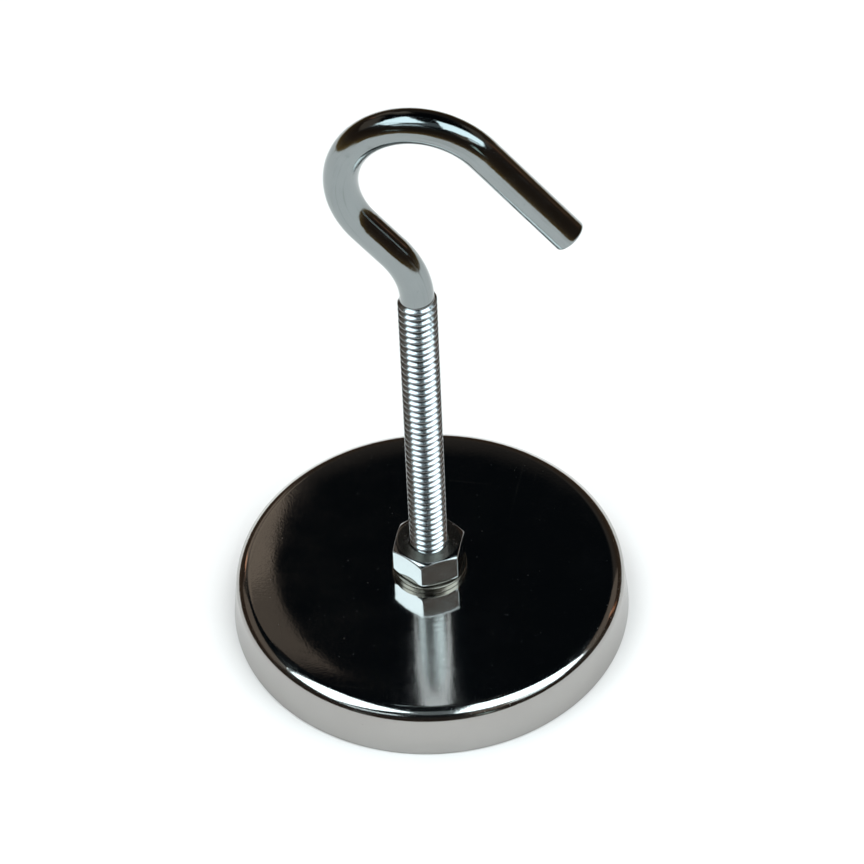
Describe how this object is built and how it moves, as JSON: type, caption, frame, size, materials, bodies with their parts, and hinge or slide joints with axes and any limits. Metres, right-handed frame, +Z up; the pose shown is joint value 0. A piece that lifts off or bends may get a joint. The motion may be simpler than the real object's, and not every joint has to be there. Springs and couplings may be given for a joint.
{
  "type": "magnet fishing magnet",
  "caption": "Round pot magnet in a pressed steel cup, with a bent wire hook on a threaded shank clamped by hexagon nuts and washers.",
  "frame": {"origin": "centre of the cup's rim, on the plane that meets what the magnet holds", "axes": "+Z up along the hook's shank; the hook bends in the XZ plane with its open end towards +X"},
  "size_m": [0.0676, 0.0676, 0.1095],
  "materials": {
    "cup_nickel": "bright nickel plate on pressed steel",
    "hook_zinc": "bright zinc plate on drawn wire",
    "nut_zinc": "bright zinc plate",
    "washer_zinc": "bright zinc plate, stamped",
    "ferrite": "matt sintered ferrite",
    "resin": "cast epoxy resin",
    "adhesive": "cured adhesive"
  },
  "bodies": {
    "magnet": {"magnet_cup": "cup_nickel", "ring_magnet": "ferrite", "adhesive_layer": "adhesive", "potting_ring": "resin"},
    "hook": {"hook": "hook_zinc", "under_washer": "washer_zinc", "under_nut": "nut_zinc"},
    "upper_washer": {"upper_washer": "washer_zinc"},
    "upper_nut": {"upper_nut": "nut_zinc"}
  },
  "joints": [
    {"name": "hook_turn", "type": "hinge", "parent": "magnet", "child": "hook", "pos_m": [0, 0, 0.009], "axis": [0, 0, 1], "continuous": true},
    {"name": "nut_lift", "type": "slide", "parent": "hook", "child": "upper_washer", "axis": [0, 0, 1], "range_m": [0, 0.05461]},
    {"name": "nut_turn", "type": "hinge", "parent": "upper_washer", "child": "upper_nut", "pos_m": [0, 0, 0.0102], "axis": [0, 0, 1], "range_deg": [0, 15481]}
  ],
  "couplings": [
    {"joint": "nut_turn", "follows": "nut_lift", "rad_per_m": 4947.4}
  ]
}
